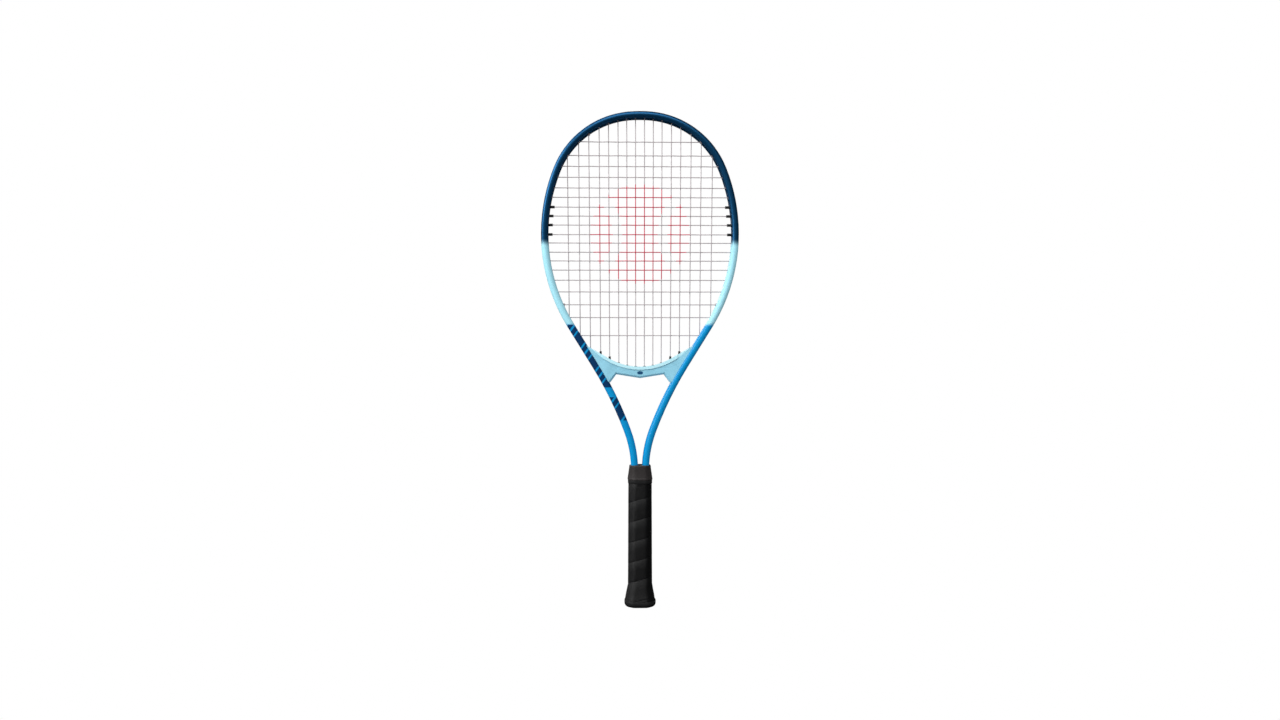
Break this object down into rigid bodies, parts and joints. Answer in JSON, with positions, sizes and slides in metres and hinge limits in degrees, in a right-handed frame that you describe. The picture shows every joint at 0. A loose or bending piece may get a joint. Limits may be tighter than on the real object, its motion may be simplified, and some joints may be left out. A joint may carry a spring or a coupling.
{
  "type": "tennis racket",
  "caption": "Tennis racket with a bent aluminium tube frame, a moulded throat bridge, a woven string bed, shock sleeves and a wrapped octagonal handle.",
  "frame": {"origin": "centre of the butt end face, on the handle's axis", "axes": "+Z along the handle to the head, X across the head, Y through the depth; -Y is the front face"},
  "size_m": [0.2764, 0.0396, 0.692],
  "materials": {
    "painted_aluminium": "gloss paint in three bands, dark blue, pale aqua and bright blue",
    "bridge_plastic": "satin moulded, pale aqua",
    "black_plastic": "matt black",
    "sleeve_rubber": "matt black",
    "string": "translucent off-white nylon",
    "pallet_plastic": "plain moulded",
    "steel": "bright",
    "grip": "black synthetic grip tape, fine grain",
    "tape": "black vinyl",
    "collar_rubber": "matt black",
    "badge_plastic": "plain black"
  },
  "bodies": {
    "root": {"frame_tube": "painted_aluminium", "throat_yoke": "bridge_plastic", "yoke_pins": "steel", "head_guard": "black_plastic", "grommet_strip_left": "black_plastic", "grommet_strip_right": "black_plastic", "lower_grommet_strip_left": "black_plastic", "lower_grommet_strip_right": "black_plastic", "bridge_grommet_strip": "black_plastic", "shock_sleeves_left": "sleeve_rubber", "shock_sleeves_right": "sleeve_rubber", "main_string": "string", "cross_string": "string", "string_knots": "string", "pallet_front": "pallet_plastic", "pallet_rear": "pallet_plastic", "shaft_spacer": "pallet_plastic", "pallet_screws": "steel", "butt_cap": "black_plastic", "butt_badge": "badge_plastic", "cap_staples": "steel", "grip_tack": "steel", "grip_wrap": "grip", "finishing_tape": "tape", "grip_collar": "collar_rubber"}
  },
  "joints": []
}
